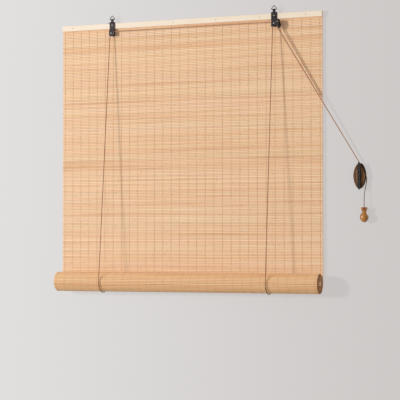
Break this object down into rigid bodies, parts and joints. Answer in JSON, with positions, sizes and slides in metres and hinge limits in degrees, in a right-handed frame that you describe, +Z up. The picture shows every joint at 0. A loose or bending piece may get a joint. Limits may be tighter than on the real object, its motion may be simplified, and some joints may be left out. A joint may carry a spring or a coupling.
{
  "type": "bamboo roll up blind",
  "caption": "Bamboo slat blind on a wooden headrail, part rolled up towards the front, with lift cords over pulleys to a cord lock, a wall cleat and a turned wooden pull.",
  "frame": {"origin": "middle of the headrail's back face, which lies against the wall", "axes": "+X along the headrail towards the cord lock and cleat, +Y into the wall, +Z up"},
  "size_m": [1.0487, 0.0739, 0.9026],
  "materials": {
    "pine": "matte",
    "bamboo": "satin",
    "thread": "matte",
    "dark_steel": "satin",
    "bright_steel": "satin",
    "nail_steel": "satin",
    "wheel_nylon": "matte",
    "cord": "matte",
    "black_plastic": "satin",
    "turned_wood": "satin"
  },
  "bodies": {
    "frame": {"headrail_front": "pine", "headrail_back": "pine", "headrail_nails": "nail_steel", "mat_flat": "bamboo", "mat_threads": "thread", "left_strap": "dark_steel", "left_screw": "bright_steel", "left_housing": "dark_steel", "left_axle": "bright_steel", "right_strap": "dark_steel", "right_screw": "bright_steel", "lock_housing": "dark_steel", "right_axle": "bright_steel", "cam_pin_rivet": "bright_steel", "left_front_run": "cord", "left_back_run": "cord", "left_knot": "cord", "right_front_run": "cord", "right_back_run": "cord", "right_knot": "cord", "left_pull_cord": "cord", "right_pull_cord": "cord", "cleat": "black_plastic", "cord_hank": "cord", "cord_tail": "cord", "acorn": "turned_wood"},
    "lift": {"left_loop": "cord", "right_loop": "cord"},
    "roll": {"mat_roll": "bamboo", "bottom_bar": "pine"},
    "left_hook_ring": {"left_ring": "dark_steel"},
    "right_hook_ring": {"right_ring": "dark_steel"},
    "left_pulley": {"left_wheel": "wheel_nylon"},
    "rear_pulley": {"rear_wheel": "wheel_nylon"},
    "front_pulley": {"front_wheel": "wheel_nylon"},
    "cam": {"lock_cam": "dark_steel"}
  },
  "joints": [
    {"name": "roll_lift", "type": "slide", "parent": "frame", "child": "lift", "axis": [0, 0, 1], "range_m": [0, 0.446], "deforming": ["mat_flat", "mat_threads", "left_front_run", "right_front_run", "left_back_run", "right_back_run"]},
    {"name": "roll_turn", "type": "hinge", "parent": "lift", "child": "roll", "pos_m": [0, -0.0385, -0.833], "axis": [-1, 0, 0], "range_deg": [0, 720]},
    {"name": "left_wheel_spin", "type": "hinge", "parent": "frame", "child": "left_pulley", "pos_m": [-0.2664, -0.0184, -0.0237], "axis": [0, 1, 0], "range_deg": [0, 8520]},
    {"name": "rear_wheel_spin", "type": "hinge", "parent": "frame", "child": "rear_pulley", "pos_m": [0.2993, -0.0184, -0.0237], "axis": [0, 1, 0], "range_deg": [0, 8520]},
    {"name": "front_wheel_spin", "type": "hinge", "parent": "frame", "child": "front_pulley", "pos_m": [0.2993, -0.0242, -0.0237], "axis": [0, 1, 0], "range_deg": [0, 8520]},
    {"name": "lock_cam_turn", "type": "hinge", "parent": "frame", "child": "cam", "pos_m": [0.3098, -0.0213, -0.0191], "axis": [0, -1, 0], "range_deg": [0, 25]},
    {"name": "left_ring_swing", "type": "hinge", "parent": "frame", "child": "left_hook_ring", "pos_m": [-0.2664, -0.0136, 0.0211], "axis": [1, 0, 0], "range_deg": [-90, 90]},
    {"name": "right_ring_swing", "type": "hinge", "parent": "frame", "child": "right_hook_ring", "pos_m": [0.2943, -0.0136, 0.0211], "axis": [1, 0, 0], "range_deg": [-90, 90]}
  ],
  "couplings": [
    {"joint": "roll_turn", "follows": "roll_lift", "rad_per_m": 28.17},
    {"joint": "left_wheel_spin", "follows": "roll_lift", "rad_per_m": 333.3},
    {"joint": "rear_wheel_spin", "follows": "roll_lift", "rad_per_m": 333.3},
    {"joint": "front_wheel_spin", "follows": "roll_lift", "rad_per_m": 333.3}
  ]
}
